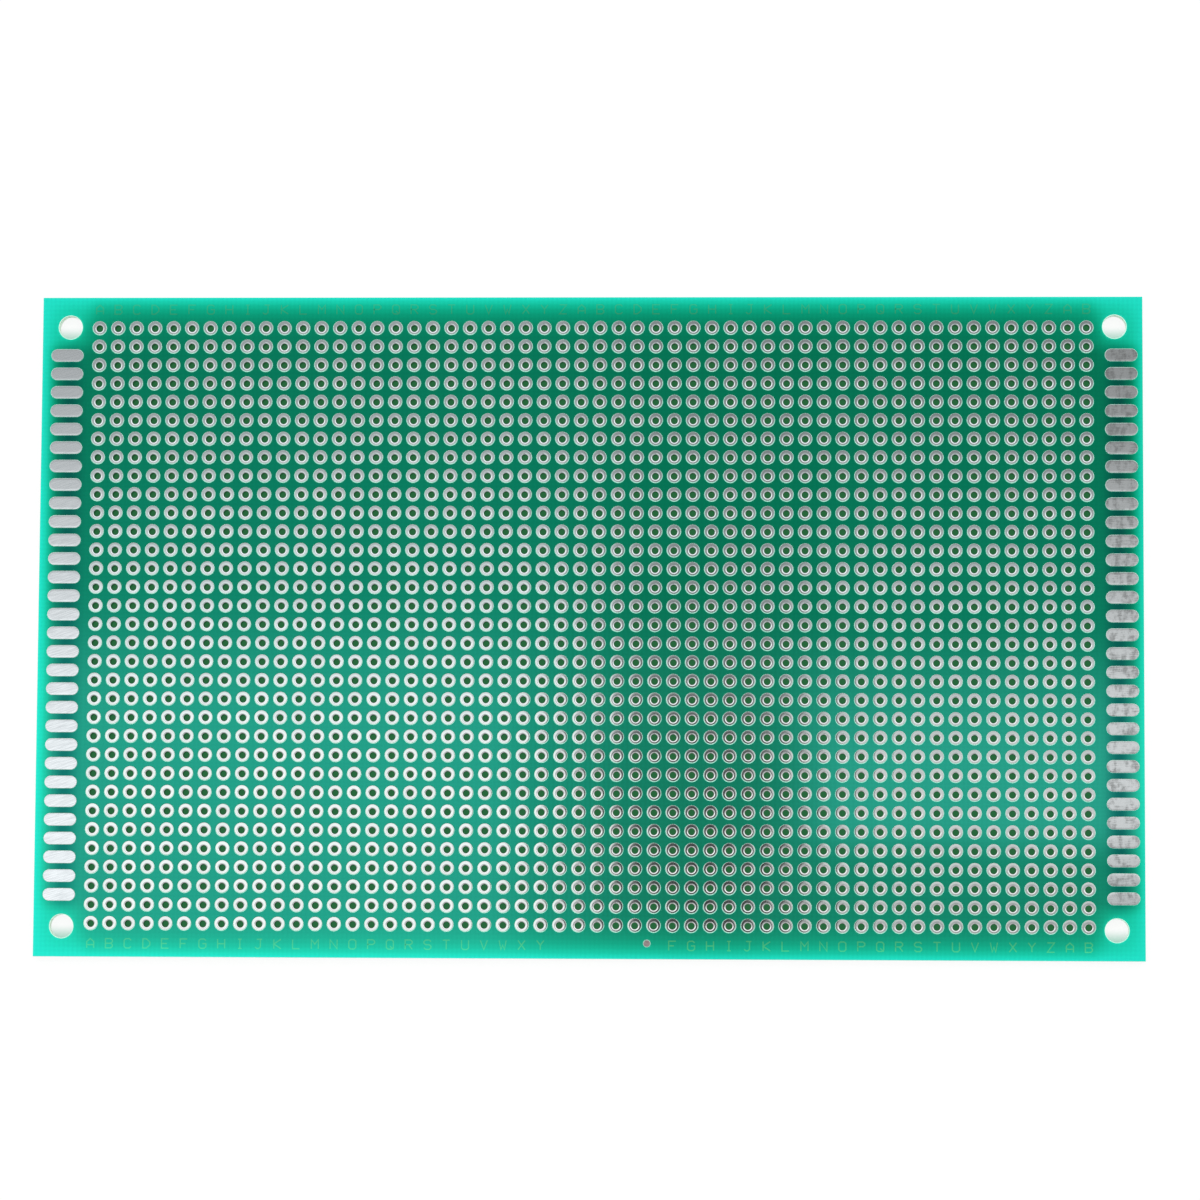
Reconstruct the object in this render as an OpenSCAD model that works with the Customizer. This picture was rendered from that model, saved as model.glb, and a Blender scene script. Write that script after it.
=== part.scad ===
// Double-sided prototype board: a glass-epoxy laminate with a full grid of
// plated through holes, a row of edge contacts at each end on both faces and
// a screw hole in each corner.
// The board lies flat with its underside metal on z = 0, centred on the origin.
// Row 1 of the grid is along the far long side, and column 1 is at the left-hand end.

/* [Board] */
// Length of the board
board_l = 150; // [120:1:180]
// Width of the board
board_w = 90; // [60:1:100]
// Thickness of the laminate with its two coats of green mask
board_t = 1.5; // [0.8:0.1:2.4]

/* [Hole grid] */
// Distance from hole to hole, both ways
pitch = 2.54; // [2.5:0.01:3]
// Finished diameter of a plated hole
hole_d = 1; // [0.8:0.05:1.1]
// Wall thickness of the plating inside a hole
plating_t = 0.05; // [0.03:0.01:0.06]
// Outer diameter of the ring round a hole
ring_d = 1.86; // [1.6:0.02:2]
// Strip kept free of holes at each end
end_band = 7.6; // [7.2:0.1:10]
// Strip kept free of holes along each long side
side_band = 4.3; // [3.5:0.1:8]
// How far the grid sits towards the right-hand end
grid_shift_x = 0.1; // [0:0.1:0.3]
// How far the grid sits towards the far long side
grid_shift_y = 0.2; // [0:0.1:0.3]

/* [Tinned copper] */
// How far rings and contacts stand out of each face
metal_h = 0.05; // [0.04:0.005:0.08]

/* [Edge contacts] */
// Length of a contact
contact_l = 4.4; // [3.4:0.1:4.6]
// Width of a contact
contact_w = 1.7; // [1.2:0.1:1.9]
// Bare strip between the left-hand edge and its contacts
left_margin = 1.2; // [0.4:0.1:1.4]
// Bare strip between the right-hand edge and its contacts
right_margin = 0.7; // [0.4:0.1:1.4]
// Strip kept free of contacts along each long side
contact_band = 8.1; // [7.8:0.1:12]

/* [Screw holes] */
// Diameter of a screw hole
screw_hole_d = 3.2; // [2.8:0.1:3.6]
// Distance from the board's end to a screw hole's centre
screw_inset_x = 3.8; // [3.4:0.1:4.2]
// Distance from the board's long side to a screw hole's centre
screw_inset_y = 4.1; // [3.4:0.1:4.6]

/* [Fiducial mark] */
// Diameter of the bare copper dot
dot_d = 0.9; // [0.6:0.1:1.2]
// Distance from the board's near long side to the dot
dot_inset = 2.1; // [1.6:0.1:2.4]
// Distance of the dot from the middle of the board
dot_x = 8.1; // [0:0.1:20]

/* [Hidden] */
$fn = 48;

columns = floor((board_l - 2 * end_band) / pitch) + 1;
rows = floor((board_w - 2 * side_band) / pitch) + 1;
contacts = floor((board_w - 2 * contact_band) / pitch) + 1;

// The hole that is drilled takes the plating as well
drill_r = hole_d / 2 + plating_t;

// The laminate's lower and upper face
face_low = metal_h;
face_high = metal_h + board_t;

left_contact_x = -board_l / 2 + left_margin + contact_l / 2;
right_contact_x = board_l / 2 - right_margin - contact_l / 2;

function two_digits(n) = str(n < 10 ? "0" : "", n);
function row_name(r) = str("plated_holes_row_", two_digits(r));

board_colour = "#0b735b";
tin_colour = "#c4c8ca";

function column_x(c) = grid_shift_x + (c - (columns + 1) / 2) * pitch;
function row_y(r) = grid_shift_y + ((rows + 1) / 2 - r) * pitch;

// Puts a child on each of the four screw holes
module on_screw_holes() {
  for (x = [-1, 1], y = [-1, 1])
    translate([x * (board_l / 2 - screw_inset_x), y * (board_w / 2 - screw_inset_y)])
      children();
}

// The laminate, drilled for every plated hole and every screw
module board() {
  color(board_colour)
    translate([0, 0, face_low]) linear_extrude(board_t) difference() {
      square([board_l, board_w], center = true);
      for (r = [1 : rows], c = [1 : columns])
        translate([column_x(c), row_y(r)]) circle(r = drill_r);
      on_screw_holes() circle(d = screw_hole_d);
    }
}

// Half section of one plated hole: a barrel that flares into a ring on each face,
// thickest at the hole's mouth and run out to nothing at the ring's rim
module plated_hole_section() {
  polygon([
    [hole_d / 2, face_low - metal_h],
    [ring_d / 2, face_low],
    [drill_r, face_low],
    [drill_r, face_high],
    [ring_d / 2, face_high],
    [hole_d / 2, face_high + metal_h]
  ]);
}

// One row of plated holes, from end to end
module plated_row(r) {
  color(tin_colour)
    for (c = [1 : columns])
      translate([column_x(c), row_y(r), 0]) rotate_extrude() plated_hole_section();
}

// The outline of a contact, with round ends
module contact_outline() {
  straight = contact_l - contact_w;
  square([straight, contact_w], center = true);
  for (x = [-1, 1]) translate([x * straight / 2, 0]) circle(d = contact_w);
}

// The contacts of one end on one face; they stand midway between the rows
module edge_contacts(x, z) {
  color(tin_colour)
    for (i = [1 : contacts])
      translate([x, grid_shift_y + ((contacts + 1) / 2 - i) * pitch, z])
        linear_extrude(metal_h) contact_outline();
}

// The bare copper dot that a machine finds the board by
module fiducial_dot() {
  color(tin_colour)
    translate([dot_x, dot_inset - board_w / 2, face_high]) cylinder(d = dot_d, h = metal_h);
}

board();
fiducial_dot();
edge_contacts(left_contact_x, face_high);  // edge_contacts_left_top
edge_contacts(right_contact_x, face_high);  // edge_contacts_right_top
edge_contacts(left_contact_x, 0);  // edge_contacts_left_bottom
edge_contacts(right_contact_x, 0);  // edge_contacts_right_bottom
for (r = [1 : rows]) plated_row(r);
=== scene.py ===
"""Looks for the prototype board: solder mask, tinned holes and contacts, index letters, floor and light."""

import math
import re

import bpy
import numpy as np
from mathutils import Euler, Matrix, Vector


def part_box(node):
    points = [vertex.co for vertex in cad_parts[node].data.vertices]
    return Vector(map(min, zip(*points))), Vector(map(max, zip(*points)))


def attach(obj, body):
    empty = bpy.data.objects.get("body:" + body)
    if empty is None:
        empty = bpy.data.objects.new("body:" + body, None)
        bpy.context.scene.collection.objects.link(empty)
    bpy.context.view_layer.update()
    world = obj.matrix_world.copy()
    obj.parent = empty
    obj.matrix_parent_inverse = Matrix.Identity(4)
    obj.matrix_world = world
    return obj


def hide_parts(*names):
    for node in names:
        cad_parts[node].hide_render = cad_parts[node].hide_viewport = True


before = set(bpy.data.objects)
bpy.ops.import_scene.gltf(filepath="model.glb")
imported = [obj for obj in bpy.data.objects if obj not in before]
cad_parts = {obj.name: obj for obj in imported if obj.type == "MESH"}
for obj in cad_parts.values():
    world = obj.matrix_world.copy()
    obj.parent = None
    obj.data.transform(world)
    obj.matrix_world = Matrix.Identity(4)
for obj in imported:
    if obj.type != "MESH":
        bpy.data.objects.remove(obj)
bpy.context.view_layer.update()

MM = 0.001

# The board, read from the frame
BOARD_LOW, BOARD_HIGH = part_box("board")
HALF_L = (BOARD_HIGH.x - BOARD_LOW.x) / 2
HALF_W = (BOARD_HIGH.y - BOARD_LOW.y) / 2
FACE_TOP = BOARD_HIGH.z
FACE_BOTTOM = BOARD_LOW.z

# The grid, read from the rows of plated holes
ROW_NODES = sorted(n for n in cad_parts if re.fullmatch(r"plated_holes_row_\d+", n))
ROW_BOXES = [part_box(n) for n in ROW_NODES]
RING_R = (ROW_BOXES[0][1].y - ROW_BOXES[0][0].y) / 2
ROW_Y = [(low.y + high.y) / 2 for low, high in ROW_BOXES]
PITCH = (ROW_Y[0] - ROW_Y[-1]) / (len(ROW_Y) - 1)
FIRST_X = ROW_BOXES[0][0].x + RING_R
COLUMNS = round((ROW_BOXES[0][1].x - RING_R - FIRST_X) / PITCH) + 1
COLUMN_X = [FIRST_X + i * PITCH for i in range(COLUMNS)]
GRID_LEFT, GRID_RIGHT = COLUMN_X[0] - PITCH / 2, COLUMN_X[-1] + PITCH / 2
GRID_FAR, GRID_NEAR = ROW_Y[0] + PITCH / 2, ROW_Y[-1] - PITCH / 2

# The contacts, read from their nodes
CONTACT_W = 1.7 * MM
CONTACT_NODES = {(end, face): f"edge_contacts_{end}_{face}"
                 for end in ("left", "right") for face in ("top", "bottom")}
CONTACT_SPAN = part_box(CONTACT_NODES["left", "top"])
CONTACTS = round((CONTACT_SPAN[1].y - CONTACT_SPAN[0].y - CONTACT_W) / PITCH) + 1
CONTACT_Y = [CONTACT_SPAN[1].y - CONTACT_W / 2 - i * PITCH for i in range(CONTACTS)]

# The screw holes and the fiducial dot
SCREW_R = 1.6 * MM
SCREW_X, SCREW_Y = HALF_L - 3.8 * MM, HALF_W - 4.1 * MM
DOT_LOW, DOT_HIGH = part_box("fiducial_dot")
DOT = ((DOT_LOW + DOT_HIGH) / 2).xy
DOT_R = (DOT_HIGH.x - DOT_LOW.x) / 2

# Solder mask: its thickness, the slope of its openings and how far they stay off the metal
MASK_T = 0.03 * MM
MASK_SLOPE = 0.07 * MM
MASK_GAP = 0.05 * MM
DOT_GAP = 0.06 * MM
CONTACT_GAP = 0.02 * MM
SCREW_GAP = 0.07 * MM
# How far the openings over the holes sit off the rings, towards the near side
MASK_OFF = -0.045 * MM
# Half the width of the piece of mask that is cut out for the dot
DOT_CELL = 1.5 * MM

# Plated hole, from the rim of the upper ring to the rim of the lower one: radius and height over the face
# in millimetres, the way the surface looks in degrees from straight up, and how far this circle sits
# towards the near side, because the holes are drilled a little off the middle of their rings
UPPER_RING = [
    (0.93, 0.0, 65, 0), (0.915, 0.04, 32, 0), (0.895, 0.05, 0.8, 0), (0.635, 0.05, -0.3, 0.115),
    (0.595, 0.044, -13, 0.11), (0.50, 0.018, -34, 0.095), (0.45, 0.0, -60, 0.09), (0.435, -0.12, -84, 0.085),
]
LOWER_RING = [(0.44, -0.08, -92, 0.08), (0.56, 0.025, -140, 0.05), (0.74, 0.05, 180, 0), (0.93, 0.0, 120, 0)]

# Contact, from its foot to its top: how far in from the outline in millimetres, share of the thickness,
# and the way the surface looks in degrees from straight up
CONTACT_RIM = [(0, 0, 65), (0.015, 0.8, 30), (0.035, 1, 1), (0.3, 1, 0)]

# Corners on the outline of a hole, a round opening in the mask, a screw's opening and a contact
HOLE_SIDES = 18
OPENING_SIDES = 24
SCREW_SIDES = 48
CONTACT_SIDES = 20

# Index letters, as strokes on a grid of 4 by 6
LETTER_H = 1.25 * MM
LETTER_W = 0.95 * MM
STROKE_W = 0.16 * MM
LETTER_LIFT = 0.004 * MM
STROKE_STEP = 0.002 * MM
FAR_LETTERS_Y = 43.35 * MM
NEAR_LETTERS_Y = -43.2 * MM
FAR_LETTERS = ("ABCDEFGHIJKLMNOPQRSTUVWXYZ" * 3)[:54]
NEAR_LETTERS = "ABCDEFGHIJKLMNOPQRSTUVWXY" + " " * 6 + "FGHIJKLMNOPQRSTUVWXYZAB"
STROKES = {
    "A": "00 04 26 44 40|02 42", "B": "00 06 36 45 44 33 42 41 30 00|03 33", "C": "45 36 16 05 01 10 30 41",
    "D": "00 06 26 44 42 20 00", "E": "46 06 00 40|03 33", "F": "46 06 00|03 33",
    "G": "45 36 16 05 01 10 30 41 43 23", "H": "00 06|40 46|03 43", "I": "16 36|26 20|10 30",
    "J": "16 46|36 31 20 10 01", "K": "00 06|46 03 40", "L": "06 00 40", "M": "00 06 23 46 40",
    "N": "00 06 40 46", "O": "10 01 05 16 36 45 41 30 10", "P": "00 06 36 45 44 33 03",
    "Q": "10 01 05 16 36 45 41 30 10|22 40", "R": "00 06 36 45 44 33 03|23 40",
    "S": "45 36 16 05 04 13 33 42 41 30 10 01", "T": "06 46|26 20", "U": "06 01 10 30 41 46",
    "V": "06 20 46", "W": "06 10 23 30 46", "X": "00 46|06 40", "Y": "06 23 46|23 20", "Z": "06 46 00 40",
}

# Linear colours of the mask: over the board, the painted light that is added where the board is lit more,
# and the painted glow at its edges
MASK_GREEN = (0.0005, 0.112, 0.047, 1)
PAINTED_LIGHT_GREEN = (0.018, 0.140, 0.128, 1)
PAINTED_GLOW_GREEN = (0.002, 0.73, 0.39, 1)
PAINTED_GLOW_TEAL = (0.014, 0.63, 0.48, 1)
MASK_TINT = (0.04, 1, 0.82, 1)
MASK_IOR = 1.8
# Spacing of the glass threads in millimetres
THREAD = 0.62

# What stands in for the table: just under the board, with painted dark green shade where it shows through
# the lead holes
FLOOR_DROP = 0.02 * MM
UNDER_HALF_L, UNDER_HALF_W, UNDER_EDGE = 69.6, 42.6, 0.4
FLOOR_GLOW = 0.85

# Levels of the studio sky; 1 shows as white
CEILING = 0.62
PANEL = 1.08
RIGHT_LESS = 0.35
NEAR_RIGHT_LESS = 0.42
GAP_FAR = 0.3
GAP_NEAR = 0.96
HIGH_FRONT, HIGH_BACK, HIGH_ENDS = 0.72, 1.0, 0.25
LOW_BACK, LOW_FRONT, LOW_ENDS = 0.3, 0.8, 0.5
GRAZING = 0.6
HORIZON = 0.9

# The photograph's viewpoint
CAMERA_PLACE = (28.08 * MM, -56.25 * MM, 637.32 * MM)
CAMERA_TURN = (0.0939, 0.0412, 0.0055)
CAMERA_LENS = 141.41


def linear(r, g, b):
    """A colour on the 0 to 255 scale, as the linear colour that nodes take."""
    part = [v / 255 for v in (r, g, b)]
    return (*[v / 12.92 if v <= 0.04045 else ((v + 0.055) / 1.055) ** 2.4 for v in part], 1.0)


# Meshes

def make_mesh(name, points, triangles, smooth=False, normals=None):
    """An object of these points and triangles that rides on the board."""
    mesh = bpy.data.meshes.new(name)
    mesh.vertices.add(len(points))
    mesh.vertices.foreach_set("co", np.asarray(points, np.float32).ravel())
    mesh.loops.add(len(triangles) * 3)
    mesh.loops.foreach_set("vertex_index", np.asarray(triangles, np.int32).ravel())
    mesh.polygons.add(len(triangles))
    mesh.polygons.foreach_set("loop_start", np.arange(0, len(triangles) * 3, 3, dtype=np.int32))
    mesh.polygons.foreach_set("use_smooth", np.full(len(triangles), smooth))
    mesh.update(calc_edges=True)
    mesh.validate()
    if normals is not None:
        mesh.normals_split_custom_set_from_vertices(normals)
    made = bpy.data.objects.new(name, mesh)
    bpy.context.scene.collection.objects.link(made)
    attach(made, "root")
    return made


def repeat(points, triangles, places):
    """The same points and triangles at every place."""
    points, triangles, places = np.asarray(points), np.asarray(triangles), np.asarray(places)
    moved = (points[None, :, :] + places[:, None, :]).reshape(-1, 3)
    shifted = (triangles[None, :, :] + np.arange(len(places))[:, None, None] * len(points)).reshape(-1, 3)
    return moved, shifted


def join(parts):
    """Several pairs of points and triangles as one pair."""
    starts = np.cumsum([0] + [len(points) for points, _ in parts[:-1]])
    return (np.concatenate([points for points, _ in parts]),
            np.concatenate([np.asarray(triangles) + start for (_, triangles), start in zip(parts, starts)]))


def stadium(half_straight, radius, sides):
    """A closed outline with round ends, or a circle where half_straight is 0, starting at its lower left."""
    turn = np.radians(225) + np.linspace(0, 2 * math.pi, sides, endpoint=False)
    return np.stack([radius * np.cos(turn) + np.sign(np.round(np.cos(turn), 6)) * half_straight,
                     radius * np.sin(turn)], axis=1)


def between_loops(inner, outer):
    """Triangles that fill the space between two closed loops, each taking the shorter cross edge."""
    n, m = len(inner), len(outer)
    start = int(np.argmin(np.linalg.norm(outer - inner[0], axis=1)))
    i = j = 0
    triangles = []
    while i < n or j < m:
        here_in, next_in = inner[i % n], inner[(i + 1) % n]
        here_out, next_out = outer[(start + j) % m], outer[(start + j + 1) % m]
        outer_is_near = np.linalg.norm(next_out - here_in) < np.linalg.norm(next_in - here_out)
        if i == n or (j < m and outer_is_near):
            triangles.append((n + (start + j) % m, n + (start + j + 1) % m, i % n))
            j += 1
        else:
            triangles.append((i % n, n + (start + j) % m, (i + 1) % n))
            i += 1
    return triangles


def cell(opening, low, high):
    """A flat rectangle from low to high round an opening."""
    corners = np.array([low, (high[0], low[1]), high, (low[0], high[1])])
    flat = np.concatenate([opening, corners])
    return np.column_stack([flat, np.zeros(len(flat))]), between_loops(opening, corners)


def rectangle(low, high):
    """A flat rectangle with no opening."""
    return (np.array([(*low, 0), (high[0], low[1], 0), (*high, 0), (low[0], high[1], 0)]),
            [(0, 1, 2), (0, 2, 3)])


def wall(upper, lower, depth):
    """The sloping wall of an opening, from its outline on the mask down to the one on the laminate."""
    n = len(upper)
    points = np.concatenate([np.column_stack([upper, np.zeros(n)]),
                             np.column_stack([lower, np.full(n, -depth)])])
    triangles = []
    for i in range(n):
        k = (i + 1) % n
        triangles += [(i, k, n + k), (i, n + k, n + i)]
    return points, triangles


# Solder mask

def mask_openings(with_dot):
    """Each kind of opening: outline on the mask, outline on the laminate, cell round it and places."""
    half = PITCH / 2
    straight = (CONTACT_SPAN[1].x - CONTACT_SPAN[0].x - CONTACT_W) / 2
    hole, contact, screw, dot = [], [], [], []
    for extra in (MASK_SLOPE, 0):
        hole.append(stadium(0, RING_R + MASK_GAP + extra, OPENING_SIDES) + (0, MASK_OFF))
        contact.append(stadium(straight, CONTACT_W / 2 + CONTACT_GAP + extra, OPENING_SIDES + 4))
        screw.append(stadium(0, SCREW_R + SCREW_GAP + extra, SCREW_SIDES))
        dot.append(stadium(0, DOT_R + DOT_GAP + extra, OPENING_SIDES))
    openings = [(hole, (-half, -half), (half, half), [(x, y, 0) for y in ROW_Y for x in COLUMN_X])]
    top_contact, low_contact = CONTACT_Y[0] + half, CONTACT_Y[-1] - half
    for end, near_grid, edge in (("left", GRID_LEFT, -HALF_L), ("right", GRID_RIGHT, HALF_L)):
        low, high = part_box(CONTACT_NODES[end, "top"])
        x = (low.x + high.x) / 2
        sides = sorted((near_grid, edge))
        openings.append((contact, (sides[0] - x, -half), (sides[1] - x, half),
                         [(x, y, 0) for y in CONTACT_Y]))
        x = math.copysign(SCREW_X, edge)
        openings.append((screw, (sides[0] - x, top_contact - SCREW_Y), (sides[1] - x, HALF_W - SCREW_Y),
                         [(x, SCREW_Y, 0)]))
        openings.append((screw, (sides[0] - x, SCREW_Y - HALF_W), (sides[1] - x, low_contact + SCREW_Y),
                         [(x, -SCREW_Y, 0)]))
    if with_dot:
        openings.append((dot, (-DOT_CELL, -HALF_W - DOT.y), (DOT_CELL, GRID_NEAR - DOT.y), [(*DOT, 0)]))
    return openings


def mask_film(with_dot, with_walls):
    """The mask of one face, flat on z = 0 and looking up; with_walls is for the openings of the holes."""
    parts = []
    for (upper, lower), low, high, places in mask_openings(with_dot):
        parts.append(repeat(*cell(upper, low, high), places))
        if with_walls or len(places) == 1:
            parts.append(repeat(*wall(upper, lower, MASK_T), places))
    strips = [((GRID_LEFT, GRID_FAR), (GRID_RIGHT, HALF_W))]
    if with_dot:
        strips.append(((GRID_LEFT, -HALF_W), (DOT.x - DOT_CELL, GRID_NEAR)))
        strips.append(((DOT.x + DOT_CELL, -HALF_W), (GRID_RIGHT, GRID_NEAR)))
    else:
        strips.append(((GRID_LEFT, -HALF_W), (GRID_RIGHT, GRID_NEAR)))
    parts += [rectangle(low, high) for low, high in strips]
    corners = np.array([(-HALF_L, HALF_W), (HALF_L, HALF_W), (HALF_L, -HALF_W), (-HALF_L, -HALF_W)])
    parts.append(wall(corners, corners, MASK_T))
    return join(parts)


def build_mask():
    """The two mask films, each on its face of the laminate."""
    points, triangles = mask_film(True, True)
    points[:, 2] += FACE_TOP + MASK_T
    films = [make_mesh("solder_mask_top", points, triangles)]
    points, triangles = mask_film(False, False)
    points[:, 2] = FACE_BOTTOM - MASK_T - points[:, 2]
    films.append(make_mesh("solder_mask_bottom", points, triangles[:, ::-1]))
    for film in films:
        film.data.materials.append(mask_material())


# Tinned metal

def build_plated_holes():
    """One piece for each row of plated holes, with rounded rings and lips."""
    profile = [(r * MM, FACE_TOP + h * MM, a, off * MM) for r, h, a, off in UPPER_RING]
    profile += [(r * MM, FACE_BOTTOM - h * MM, a, off * MM) for r, h, a, off in LOWER_RING]
    turn = np.linspace(0, 2 * math.pi, HOLE_SIDES, endpoint=False)
    points, normals, triangles = [], [], []
    for r, z, angle, off in profile:
        lean = math.radians(angle)
        points += [(r * math.cos(t), r * math.sin(t) - off, z) for t in turn]
        normals += [(math.sin(lean) * math.cos(t), math.sin(lean) * math.sin(t), math.cos(lean))
                    for t in turn]
    for k in range(len(profile) - 1):
        for i in range(HOLE_SIDES):
            a, b = k * HOLE_SIDES + i, k * HOLE_SIDES + (i + 1) % HOLE_SIDES
            triangles += [(a, b, b + HOLE_SIDES), (a, b + HOLE_SIDES, a + HOLE_SIDES)]
    material = ring_material()
    for node, y in zip(ROW_NODES, ROW_Y):
        row_points, row_triangles = repeat(points, triangles, [(x, y, 0) for x in COLUMN_X])
        row = make_mesh(node.replace("plated_holes", "tinned_holes"), row_points, row_triangles, True,
                        np.tile(normals, (COLUMNS, 1)))
        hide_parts(node)
        row.data.materials.append(material)


def contact_solid(straight, thickness):
    """One contact with softly rounded edges, on z = 0 and looking up."""
    sides = CONTACT_SIDES
    loops = [stadium(straight, CONTACT_W / 2 - inset * MM, sides) for inset, _, _ in CONTACT_RIM]
    points = np.concatenate([np.column_stack([loop, np.full(sides, height * thickness)])
                             for loop, (_, height, _) in zip(loops, CONTACT_RIM)])
    outward = stadium(0, 1, sides)
    normals = np.concatenate([np.column_stack([outward * math.sin(math.radians(lean)),
                                               np.full(sides, math.cos(math.radians(lean)))])
                              for _, _, lean in CONTACT_RIM])
    triangles = []
    for k in range(len(CONTACT_RIM) - 1):
        for i in range(sides):
            a, b = k * sides + i, k * sides + (i + 1) % sides
            triangles += [(a, b, b + sides), (a, b + sides, a + sides)]
    top = (len(CONTACT_RIM) - 1) * sides
    triangles += [(top, top + i, top + i + 1) for i in range(1, sides - 1)]
    return points, np.array(triangles), normals


def build_contacts():
    """A piece for each row of edge contacts."""
    materials = {"left": contact_material("left"), "right": contact_material("right")}
    for (end, face), node in CONTACT_NODES.items():
        low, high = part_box(node)
        points, triangles, normals = contact_solid((high.x - low.x - CONTACT_W) / 2, high.z - low.z)
        if face == "bottom":
            points[:, 2] *= -1
            normals[:, 2] *= -1
            triangles = triangles[:, ::-1]
        z = FACE_TOP if face == "top" else FACE_BOTTOM
        made = make_mesh(f"tinned_contacts_{end}_{face}",
                         *repeat(points, triangles, [((low.x + high.x) / 2, y, z) for y in CONTACT_Y]), True,
                         np.tile(normals, (CONTACTS, 1)))
        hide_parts(node)
        made.data.materials.append(materials[end])


# Index letters

def ribbon(path):
    """A flat ribbon of the stroke's width along a path of points, mitred at its corners."""
    path = np.asarray(path, float)
    closed = np.allclose(path[0], path[-1])
    step = np.diff(path, axis=0)
    step /= np.linalg.norm(step, axis=1)[:, None]
    before = np.vstack([step[-1] if closed else step[0], step])
    after = np.vstack([step, step[0] if closed else step[-1]])
    side = before + after
    side = np.column_stack([-side[:, 1], side[:, 0]])
    side /= np.linalg.norm(side, axis=1)[:, None]
    stretch = 1 / np.maximum(0.5, (side * np.column_stack([-after[:, 1], after[:, 0]])).sum(1))
    offset = side * stretch[:, None] * STROKE_W / 2
    n = len(path)
    flat = np.concatenate([path + offset, path - offset])
    triangles = []
    for i in range(n - 1):
        triangles += [(n + i, n + i + 1, i + 1), (n + i, i + 1, i)]
    return np.column_stack([flat, np.zeros(2 * n)]), triangles


def letter_paths(letter):
    """A letter's strokes in metres, centred on the origin."""
    for stroke in STROKES[letter].split("|"):
        yield [((int(p[0]) / 4 - 0.5) * LETTER_W, (int(p[1]) / 6 - 0.5) * LETTER_H) for p in stroke.split()]


def build_letters():
    """The letters along both long sides, one over each column, on both faces."""
    parts = []
    for letters, y in ((FAR_LETTERS, FAR_LETTERS_Y), (NEAR_LETTERS, NEAR_LETTERS_Y)):
        for letter, x in zip(letters, COLUMN_X):
            if letter != " ":
                parts += [repeat(*ribbon(path), [(x, y, i * STROKE_STEP)])
                          for i, path in enumerate(letter_paths(letter))]
    points, triangles = join(parts)
    upper, lower = points.copy(), points.copy()
    upper[:, 2] += FACE_TOP + MASK_T + LETTER_LIFT
    lower[:, 0] *= -1
    lower[:, 2] = FACE_BOTTOM - MASK_T - LETTER_LIFT - points[:, 2]
    material = letter_material()
    for name, made_points in (("index_letters_top", upper), ("index_letters_bottom", lower)):
        made = make_mesh(name, made_points, triangles)
        made.data.materials.append(material)


# Node helpers

def plug(tree, value, socket):
    """Links a socket to another, or sets its value."""
    if isinstance(value, bpy.types.NodeSocket):
        tree.links.new(value, socket)
    else:
        socket.default_value = value


def calc(tree, operation, *values):
    """A Math node."""
    node = tree.nodes.new("ShaderNodeMath")
    node.operation = operation
    for value, socket in zip(values, node.inputs):
        plug(tree, value, socket)
    return node.outputs[0]


def step(tree, value, start, end):
    """0 before start and 1 after end, with a soft change between; start may be the larger one."""
    node = tree.nodes.new("ShaderNodeMapRange")
    node.interpolation_type = "SMOOTHSTEP"
    low, high = min(start, end), max(start, end)
    for name, number in (("From Min", low), ("From Max", high), ("To Min", float(start > end)),
                         ("To Max", float(start < end))):
        node.inputs[name].default_value = number
    plug(tree, value, node.inputs["Value"])
    return node.outputs["Result"]


def mix(tree, factor, a, b, mode="MIX"):
    """A colour mix."""
    node = tree.nodes.new("ShaderNodeMix")
    node.data_type = "RGBA"
    node.blend_type = mode
    for value, socket in ((factor, node.inputs[0]), (a, node.inputs[6]), (b, node.inputs[7])):
        plug(tree, value, socket)
    return node.outputs[2]


def mix_value(tree, factor, a, b):
    """A mix of two numbers."""
    node = tree.nodes.new("ShaderNodeMix")
    for value, socket in ((factor, node.inputs[0]), (a, node.inputs[2]), (b, node.inputs[3])):
        plug(tree, value, socket)
    return node.outputs[0]


def noise(tree, where, scale, detail=2.0, roughness=0.5):
    """A noise value about 0.5 over the given place."""
    node = tree.nodes.new("ShaderNodeTexNoise")
    node.inputs["Scale"].default_value = scale
    node.inputs["Detail"].default_value = detail
    node.inputs["Roughness"].default_value = roughness
    tree.links.new(where, node.inputs["Vector"])
    return node.outputs["Fac"]


def place_in_mm(tree):
    """The place on the board in millimetres, as a vector and its parts."""
    coords = tree.nodes.new("ShaderNodeTexCoord")
    scale = tree.nodes.new("ShaderNodeVectorMath")
    scale.operation = "SCALE"
    scale.inputs["Scale"].default_value = 1 / MM
    tree.links.new(coords.outputs["Object"], scale.inputs[0])
    parts = tree.nodes.new("ShaderNodeSeparateXYZ")
    tree.links.new(scale.outputs[0], parts.inputs[0])
    return scale.outputs[0], parts.outputs[0], parts.outputs[1], parts.outputs[2]


def stretched(tree, where, size, turn=0.0):
    """The place turned about Z and divided by a size, for a pattern that is longer one way."""
    node = tree.nodes.new("ShaderNodeMapping")
    node.vector_type = "TEXTURE"
    node.inputs["Rotation"].default_value = (0, 0, turn)
    node.inputs["Scale"].default_value = size
    tree.links.new(where, node.inputs["Vector"])
    return node.outputs[0]


def new_material(name, roughness, **fixed):
    """A material with a Principled shader; fixed names the sockets that are the same all over."""
    material = bpy.data.materials.new(name)
    material.use_nodes = True
    shader = material.node_tree.nodes["Principled BSDF"]
    shader.inputs["Roughness"].default_value = roughness
    for socket, value in fixed.items():
        shader.inputs[socket.replace("_", " ")].default_value = value
    return material, material.node_tree, shader


def add_bump(tree, shader, height, distance):
    """Fine relief on the surface."""
    node = tree.nodes.new("ShaderNodeBump")
    node.inputs["Distance"].default_value = distance
    node.inputs["Strength"].default_value = 1.0
    tree.links.new(height, node.inputs["Height"])
    tree.links.new(node.outputs["Normal"], shader.inputs["Normal"])


# Materials

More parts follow.
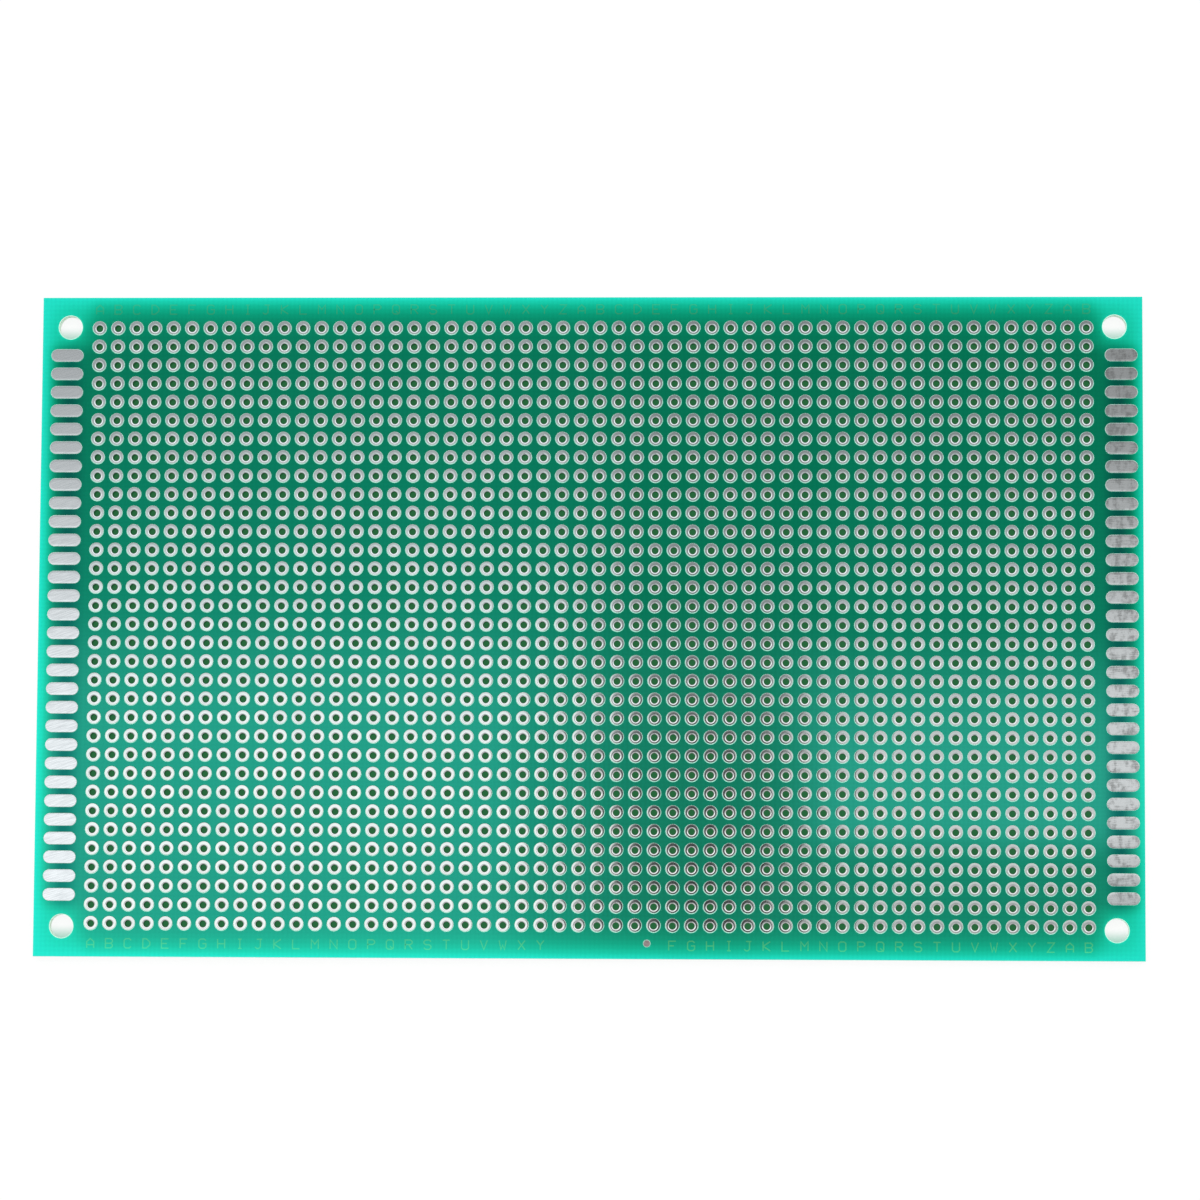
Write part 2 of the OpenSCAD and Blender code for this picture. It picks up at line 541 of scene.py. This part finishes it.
def edge_light(tree, x, y):
    """Painted glow: how strongly light coming through the laminate is painted at a place; and painted shade:
    how dark it is between the contacts.
    """
    from_end = calc(tree, "SUBTRACT", HALF_L / MM, calc(tree, "ABSOLUTE", x))
    from_end = calc(tree, "ADD", from_end, calc(tree, "ADD", 0.1, calc(
        tree, "MULTIPLY", step(tree, x, -10.0, 10.0), 0.5)))
    from_side = calc(tree, "SUBTRACT", HALF_W / MM, calc(tree, "ABSOLUTE", y))
    by_contacts = step(tree, from_side, 5.5, 8.0)
    end_glow = step(tree, from_end, 2.5, -0.1)
    corner_glow = calc(tree, "MULTIPLY", 1.1, calc(tree, "EXPONENT", calc(tree, "DIVIDE", from_end, -3.2)))
    glow_x = calc(tree, "ADD", calc(tree, "MULTIPLY", end_glow, by_contacts),
                  calc(tree, "MULTIPLY", corner_glow, calc(tree, "SUBTRACT", 1.0, by_contacts)))
    reach = calc(tree, "ADD", 1.5, calc(tree, "MULTIPLY", 1.6, step(tree, from_end, 8.0, 5.0)))
    glow_y = calc(tree, "MULTIPLY", 1.05, calc(tree, "EXPONENT", calc(
        tree, "MULTIPLY", -1.0, calc(tree, "DIVIDE", from_side, reach))))
    # Painted shade: dark between the contacts, where the copper on both faces would block the light coming
    # through
    dark = calc(tree, "MULTIPLY", by_contacts, calc(
        tree, "MULTIPLY", step(tree, from_end, 1.8, 3.8), step(tree, from_end, 6.6, 4.0)))
    by_screw = [calc(tree, "POWER", calc(tree, "SUBTRACT", calc(tree, "ABSOLUTE", v), centre / MM), 2.0)
                for v, centre in ((x, SCREW_X), (y, SCREW_Y))]
    from_screw = calc(tree, "SUBTRACT", calc(tree, "SQRT", calc(tree, "ADD", *by_screw)), SCREW_R / MM)
    glow_hole = calc(tree, "MULTIPLY", 0.5, calc(tree, "EXPONENT", calc(tree, "DIVIDE", from_screw, -0.22)))
    left = calc(tree, "MULTIPLY", calc(tree, "SUBTRACT", 1.0, calc(tree, "MINIMUM", glow_x, 1.0)),
                calc(tree, "SUBTRACT", 1.0, calc(tree, "MINIMUM", glow_y, 1.0)))
    left = calc(tree, "MULTIPLY", left, calc(tree, "SUBTRACT", 1.0, calc(tree, "MINIMUM", glow_hole, 1.0)))
    return calc(tree, "SUBTRACT", 1.0, left), dark


def weave(tree, x, y):
    """Crossing glass threads, from 0 to 1."""
    parts = [calc(tree, "SINE", calc(tree, "MULTIPLY", v, 2 * math.pi / THREAD)) for v in (x, y)]
    return calc(tree, "ADD", 0.5, calc(tree, "MULTIPLY", 0.25, calc(tree, "ADD", *parts)))


def mask_colour(tree):
    """The mask's colour with painted light where the board is lit more, painted glow from its edges, painted
    shade between the contacts, its threads and its specks.
    """
    where, x, y, _ = place_in_mm(tree)
    painted_glow, dark = edge_light(tree, x, y)
    # Painted light: the mask is made lighter towards the near side, more at the left and at the right-hand
    # end than in the middle, where the board is lit more
    right = step(tree, x, 24.0, 36.0)
    painted_light = step(tree, calc(tree, "ADD", y, calc(tree, "MULTIPLY", right, 5.0)), 7.0, -14.0)
    painted_light = calc(tree, "MULTIPLY", painted_light, calc(tree, "SUBTRACT", 0.6, calc(
        tree, "MULTIPLY", step(tree, x, -14.0, -6.0), 0.3)))
    painted_light = calc(tree, "ADD", painted_light, calc(tree, "MULTIPLY", calc(tree, "MULTIPLY", right, painted_light), calc(
        tree, "SUBTRACT", 1.9, calc(tree, "MULTIPLY", step(tree, y, -26.0, -33.0), 2.2))))
    colour = mix(tree, 1.0, MASK_GREEN, mix(tree, painted_light, (0, 0, 0, 1), PAINTED_LIGHT_GREEN), "ADD")
    # Painted shade between the contacts
    colour = mix(tree, dark, colour, mix(tree, 1.0, colour, (0.1, 0.22, 0.30, 1), "MULTIPLY"))
    # Painted glow: light painted as coming through the laminate near its edges, its corners and the screw
    # holes
    colour = mix(tree, painted_glow, colour, mix(tree, painted_glow, PAINTED_GLOW_GREEN, PAINTED_GLOW_TEAL))
    cloud = noise(tree, where, 0.09, 3.0)
    threads = weave(tree, x, y)
    speck = noise(tree, where, 3.1, 4.0, 0.65)
    tone = calc(tree, "ADD", 0.85, calc(tree, "ADD", calc(tree, "MULTIPLY", cloud, 0.10), calc(
        tree, "ADD", calc(tree, "MULTIPLY", threads, 0.08), calc(tree, "MULTIPLY", speck, 0.12))))
    grey = tree.nodes.new("ShaderNodeCombineColor")
    for socket in grey.inputs[:3]:
        tree.links.new(tone, socket)
    return mix(tree, 1.0, colour, grey.outputs[0], "MULTIPLY"), threads, speck


def mask_material():
    """Glossy green mask over woven glass."""
    material, tree, shader = new_material("solder_mask_gloss", 0.08, IOR=MASK_IOR, Specular_Tint=MASK_TINT)
    colour, threads, speck = mask_colour(tree)
    tree.links.new(colour, shader.inputs["Base Color"])
    tree.links.new(calc(tree, "ADD", 0.05, calc(tree, "MULTIPLY", speck, 0.07)), shader.inputs["Roughness"])
    add_bump(tree, shader, calc(tree, "ADD", threads, calc(tree, "MULTIPLY", speck, 0.6)), 0.0005 * MM)
    return material


def letter_material():
    """Mask over thin copper strokes: yellower and lighter than the rest."""
    material, tree, shader = new_material("mask_over_strokes", 0.1, IOR=MASK_IOR, Specular_Tint=MASK_TINT)
    colour, _, _ = mask_colour(tree)
    _, _, y, _ = place_in_mm(tree)
    # The strokes' own tint, yellower than the mask; over the near row also painted light that makes them
    # lighter and greener
    near = step(tree, y, 10.0, -10.0)
    tint_and_painted_light = mix(tree, near, (1, 0.93, 0.80, 1), (1, 1.12, 0.84, 1))
    colour = mix(tree, 1.0, mix(tree, 1.0, colour, tint_and_painted_light, "MULTIPLY"),
                 mix(tree, near, (0.022, 0, 0, 1), (0.05, 0.03, 0, 1)), "ADD")
    tree.links.new(colour, shader.inputs["Base Color"])
    return material


def laminate_material():
    """Glass-epoxy: pale green in the openings, with painted glow near the edges, pale and layered on the cut
    edges.
    """
    material, tree, shader = new_material("glass_epoxy", 0.45)
    where, x, y, z = place_in_mm(tree)
    geometry = tree.nodes.new("ShaderNodeNewGeometry")
    parts = tree.nodes.new("ShaderNodeSeparateXYZ")
    tree.links.new(geometry.outputs["Normal"], parts.inputs[0])
    flat = step(tree, calc(tree, "ABSOLUTE", parts.outputs[2]), 0.4, 0.6)
    layers = calc(tree, "SINE", calc(tree, "MULTIPLY", z, 2 * math.pi / 0.19))
    grain = noise(tree, stretched(tree, where, (0.5, 0.5, 0.06)), 1.6, 4.0, 0.6)
    cut = mix(tree, calc(tree, "ADD", calc(tree, "MULTIPLY", layers, 0.2), grain),
              linear(190, 218, 196), linear(226, 239, 224))
    painted_glow, _ = edge_light(tree, x, y)
    face = mix(tree, weave(tree, x, y), linear(150, 214, 192), linear(178, 232, 212))
    # Painted glow: lighter where light is painted as coming through the laminate
    face = mix(tree, painted_glow, face, linear(200, 245, 228))
    tree.links.new(mix(tree, flat, cut, face), shader.inputs["Base Color"])
    tree.links.new(calc(tree, "ADD", 0.35, calc(tree, "MULTIPLY", grain, 0.3)), shader.inputs["Roughness"])
    add_bump(tree, shader, grain, 0.004 * MM)
    return material


def ring_material():
    """Tin on the rings: bright, soft grey, with a small difference from hole to hole, and painted dark green
    shade deep in the holes.
    """
    material, tree, shader = new_material("tin_rings", 0.12, Metallic=1.0)
    where, _, y, z = place_in_mm(tree)
    cell_index = tree.nodes.new("ShaderNodeVectorMath")
    cell_index.operation = "FLOOR"
    offset = tree.nodes.new("ShaderNodeVectorMath")
    offset.operation = "SUBTRACT"
    offset.inputs[1].default_value = (GRID_LEFT / MM, GRID_NEAR / MM, 0)
    tree.links.new(where, offset.inputs[0])
    flat = tree.nodes.new("ShaderNodeVectorMath")
    flat.operation = "MULTIPLY"
    flat.inputs[1].default_value = (MM / PITCH, MM / PITCH, 0)
    tree.links.new(offset.outputs[0], flat.inputs[0])
    tree.links.new(flat.outputs[0], cell_index.inputs[0])
    lot = tree.nodes.new("ShaderNodeTexWhiteNoise")
    tree.links.new(cell_index.outputs[0], lot.inputs["Vector"])
    patches = noise(tree, where, 1.4, 4.0, 0.6)
    tone = calc(tree, "ADD", calc(tree, "MULTIPLY", lot.outputs["Value"], 0.35), calc(
        tree, "MULTIPLY", patches, 0.65))
    colour = mix(tree, tone, (0.44, 0.485, 0.49, 1), (0.58, 0.63, 0.635, 1))
    warmer = mix(tree, 1.0, colour, (1.03, 0.985, 0.96, 1), "MULTIPLY")
    colour = mix(tree, step(tree, y, 5.0, -25.0), colour, warmer)
    # Painted shade: the barrels turn dark green deep in the holes
    inside = step(tree, z, (FACE_TOP - 0.25 * MM) / MM, (FACE_TOP - 1.0 * MM) / MM)
    colour = mix(tree, calc(tree, "MULTIPLY", inside, 0.6), colour, (0.1, 0.3, 0.14, 1))
    tree.links.new(colour, shader.inputs["Base Color"])
    roughness = calc(tree, "ADD", 0.035, calc(tree, "MULTIPLY", patches, 0.04))
    tree.links.new(roughness, shader.inputs["Roughness"])
    add_bump(tree, shader, noise(tree, where, 2.0, 2.0, 0.5), 0.0003 * MM)
    return material


def contact_material(end):
    """Tin on the contacts: fine slanting streaks at the left-hand end, smudges at the right-hand one."""
    material, tree, shader = new_material(f"tin_contacts_{end}", 0.18, Metallic=1.0)
    where, *_ = place_in_mm(tree)
    if end == "left":
        marks = noise(tree, stretched(tree, where, (2.6, 0.16, 1), math.radians(18)), 1.2, 3.0, 0.6)
        dark, light = (0.46, 0.485, 0.50, 1), (0.575, 0.60, 0.615, 1)
        spread = (0.3, 0.7)
    else:
        smudges = noise(tree, stretched(tree, where, (0.7, 1.4, 1)), 0.9, 4.0, 0.55)
        streaks = noise(tree, stretched(tree, where, (2.0, 0.1, 1), math.radians(3)), 1.3, 3.0, 0.6)
        marks = mix_value(tree, 0.4, smudges, streaks)
        dark, light = (0.33, 0.34, 0.34, 1), (0.60, 0.62, 0.625, 1)
        spread = (0.38, 0.54)
    amount = step(tree, marks, *spread)
    tree.links.new(mix(tree, amount, dark, light), shader.inputs["Base Color"])
    roughness = calc(tree, "SUBTRACT", 0.14, calc(tree, "MULTIPLY", amount, 0.05))
    tree.links.new(roughness, shader.inputs["Roughness"])
    add_bump(tree, shader, marks, 0.00006 * MM)
    return material


def dot_material():
    """Bare tinned dot, browner than the rest."""
    material, tree, shader = new_material("tin_dot", 0.35, Metallic=1.0)
    where, *_ = place_in_mm(tree)
    tree.links.new(mix(tree, noise(tree, where, 4.0, 3.0), (0.17, 0.13, 0.125, 1), (0.40, 0.34, 0.335, 1)),
                   shader.inputs["Base Color"])
    return material


def dress_nodes():
    """Finishes for the CAD nodes that stay in view."""
    for node, material in (("board", laminate_material()), ("fiducial_dot", dot_material())):
        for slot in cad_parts[node].material_slots:
            slot.link = "OBJECT"
            slot.material = material


# Stage

def screw_shade(tree, x, y):
    """How far the floor is shaded inside the screw holes, most at their near side."""
    local_x, local_y = [calc(tree, "SUBTRACT", v, calc(tree, "MULTIPLY", calc(tree, "SIGN", v), centre / MM))
                        for v, centre in ((x, SCREW_X), (y, SCREW_Y))]
    squares = [calc(tree, "POWER", v, 2.0) for v in (local_x, local_y)]
    inside = step(tree, calc(tree, "SQRT", calc(tree, "ADD", *squares)), 2.4, 2.2)
    return calc(tree, "MULTIPLY", inside, calc(tree, "MULTIPLY", step(tree, local_y, 0.4, -1.6), 0.9))


def build_floor():
    """A white floor just under the board, with painted dark green shade where the lead holes let it through.
    """
    bpy.ops.mesh.primitive_plane_add(size=6, location=(0, 0, -FLOOR_DROP))
    floor = bpy.context.object
    floor.name = "floor"
    material = bpy.data.materials.new("floor")
    material.use_nodes = True
    tree = material.node_tree
    tree.nodes.clear()
    _, x, y, _ = place_in_mm(tree)
    inside = [step(tree, calc(tree, "ABSOLUTE", v), half, half - UNDER_EDGE)
              for v, half in ((x, UNDER_HALF_L), (y, UNDER_HALF_W))]
    # Painted shade: dark green on the floor under the board, seen through the lead holes
    painted_shade_under_board = calc(tree, "MULTIPLY", *inside)
    colour = mix(tree, painted_shade_under_board, (0.95, 0.95, 0.95, 1), (0.03, 0.17, 0.06, 1))
    seen = mix(tree, painted_shade_under_board, (1, 1, 1, 1), (0.026, 0.15, 0.052, 1))
    seen = mix(tree, screw_shade(tree, x, y), seen, (0.30, 0.60, 0.48, 1))
    diffuse = tree.nodes.new("ShaderNodeBsdfDiffuse")
    tree.links.new(colour, diffuse.inputs["Color"])
    white = tree.nodes.new("ShaderNodeEmission")
    tree.links.new(seen, white.inputs["Color"])
    path = tree.nodes.new("ShaderNodeLightPath")
    looked_at = calc(tree, "MAXIMUM", path.outputs["Is Camera Ray"], calc(
        tree, "MAXIMUM", path.outputs["Is Glossy Ray"], path.outputs["Is Transmission Ray"]))
    both = tree.nodes.new("ShaderNodeMixShader")
    tree.links.new(calc(tree, "MULTIPLY", looked_at, FLOOR_GLOW), both.inputs[0])
    tree.links.new(diffuse.outputs[0], both.inputs[1])
    tree.links.new(white.outputs[0], both.inputs[2])
    output = tree.nodes.new("ShaderNodeOutputMaterial")
    tree.links.new(both.outputs[0], output.inputs["Surface"])
    floor.data.materials.append(material)


def build_light():
    """A soft studio sky: two broad panels overhead with a gap between them, and plain sides."""
    world = bpy.data.worlds.new("studio")
    bpy.context.scene.world = world
    world.use_nodes = True
    tree = world.node_tree
    tree.nodes.clear()
    coords = tree.nodes.new("ShaderNodeTexCoord")
    split = tree.nodes.new("ShaderNodeSeparateXYZ")
    tree.links.new(coords.outputs["Generated"], split.inputs[0])
    parts = list(split.outputs)
    height = calc(tree, "MAXIMUM", parts[2], 0.05)
    across = calc(tree, "DIVIDE", parts[0], height)
    along = calc(tree, "DIVIDE", parts[1], height)

    def lessen(level, amount, *where):
        """The level, less this share of it where all the given values are 1."""
        share = amount
        for value in where:
            share = calc(tree, "MULTIPLY", share, value)
        return calc(tree, "MULTIPLY", level, calc(tree, "SUBTRACT", 1.0, share))

    level = calc(tree, "ADD", CEILING, calc(tree, "MULTIPLY", step(tree, along, 0.150, 0.055), PANEL))
    level = lessen(level, RIGHT_LESS, step(tree, across, -0.03, 0.03))
    level = lessen(level, NEAR_RIGHT_LESS, step(tree, across, 0.0, 0.03), step(tree, along, 0.045, 0.025))
    in_gap = calc(tree, "MULTIPLY", step(tree, across, -0.058, -0.032), step(tree, across, 0.016, -0.008))
    depth = calc(tree, "ADD", GAP_FAR, calc(
        tree, "MULTIPLY", step(tree, along, 0.15, 0.05), GAP_NEAR - GAP_FAR))
    level = lessen(level, depth, in_gap)
    ends = calc(tree, "ABSOLUTE", parts[0])
    high = calc(tree, "ADD", calc(tree, "ADD", HIGH_FRONT, calc(
        tree, "MULTIPLY", step(tree, parts[1], -0.1, 0.15), HIGH_BACK)), calc(
        tree, "MULTIPLY", step(tree, ends, 0.12, 0.35), HIGH_ENDS))
    low = calc(tree, "ADD", calc(tree, "ADD", LOW_BACK, calc(
        tree, "MULTIPLY", step(tree, parts[1], 0.25, -0.25), LOW_FRONT)), calc(
        tree, "MULTIPLY", step(tree, ends, 0.3, 0.8), LOW_ENDS))
    level = mix_value(tree, step(tree, parts[2], 0.955, 0.91), level, high)
    level = mix_value(tree, step(tree, parts[2], 0.5, 0.3), level, low)
    level = mix_value(tree, step(tree, parts[2], 0.35, 0.25), level, GRAZING)
    level = mix_value(tree, step(tree, parts[2], 0.10, 0.0), level, HORIZON)
    background = tree.nodes.new("ShaderNodeBackground")
    tree.links.new(level, background.inputs["Strength"])
    background.inputs["Color"].default_value = (0.98, 0.995, 1, 1)
    output = tree.nodes.new("ShaderNodeOutputWorld")
    tree.links.new(background.outputs[0], output.inputs["Surface"])


def build_camera():
    """The photograph's viewpoint, almost straight above the board."""
    camera = bpy.data.objects.new("camera", bpy.data.cameras.new("camera"))
    bpy.context.scene.collection.objects.link(camera)
    camera.location = CAMERA_PLACE
    camera.rotation_euler = Euler(CAMERA_TURN, "XYZ")
    camera.data.sensor_width = 36
    camera.data.lens = CAMERA_LENS
    bpy.context.scene.camera = camera


build_mask()
build_plated_holes()
build_contacts()
build_letters()
dress_nodes()
build_floor()
build_light()
build_camera()
bpy.context.scene.view_settings.view_transform = "Standard"
